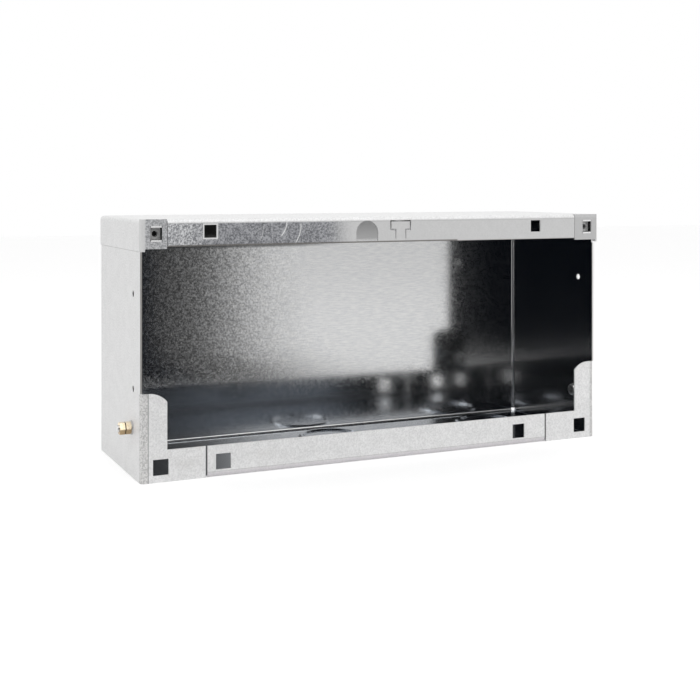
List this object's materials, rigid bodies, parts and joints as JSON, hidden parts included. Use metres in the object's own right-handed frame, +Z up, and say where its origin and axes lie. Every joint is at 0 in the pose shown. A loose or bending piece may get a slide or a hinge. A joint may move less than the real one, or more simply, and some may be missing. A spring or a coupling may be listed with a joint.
{
  "type": "flush back box",
  "caption": "Open-fronted rectangular flush back box folded from zinc coated sheet, with a flanged top cap, plate holes, caged nuts, conduit rings and side earth terminals.",
  "frame": {"origin": "middle of the box's footprint, at the level of the underside", "axes": "+X along the width to the right, +Y from the open front to the back, +Z up"},
  "size_m": [0.3952, 0.12, 0.18],
  "materials": {
    "zinc_sheet": "bright zinc coated sheet with fine grain and scuffs",
    "spring_steel": "bright zinc plated spring strip",
    "nut_steel": "zinc plated steel",
    "screw_steel": "zinc plated steel",
    "washer_steel": "zinc plated steel",
    "terminal_brass": "plain turned brass"
  },
  "bodies": {
    "root": {"box_body": "zinc_sheet", "top_cap": "zinc_sheet", "spring_cage_left": "spring_steel", "spring_cage_right": "spring_steel", "cage_nut_left": "nut_steel", "cage_nut_right": "nut_steel", "earth_screw_left": "screw_steel", "earth_screw_right": "screw_steel", "inner_washer_left": "washer_steel", "inner_washer_right": "washer_steel", "outer_washer_left": "washer_steel", "outer_washer_right": "washer_steel", "lock_nut_left": "terminal_brass", "lock_nut_right": "terminal_brass", "terminal_nut_left": "terminal_brass", "terminal_nut_right": "terminal_brass"}
  },
  "joints": []
}
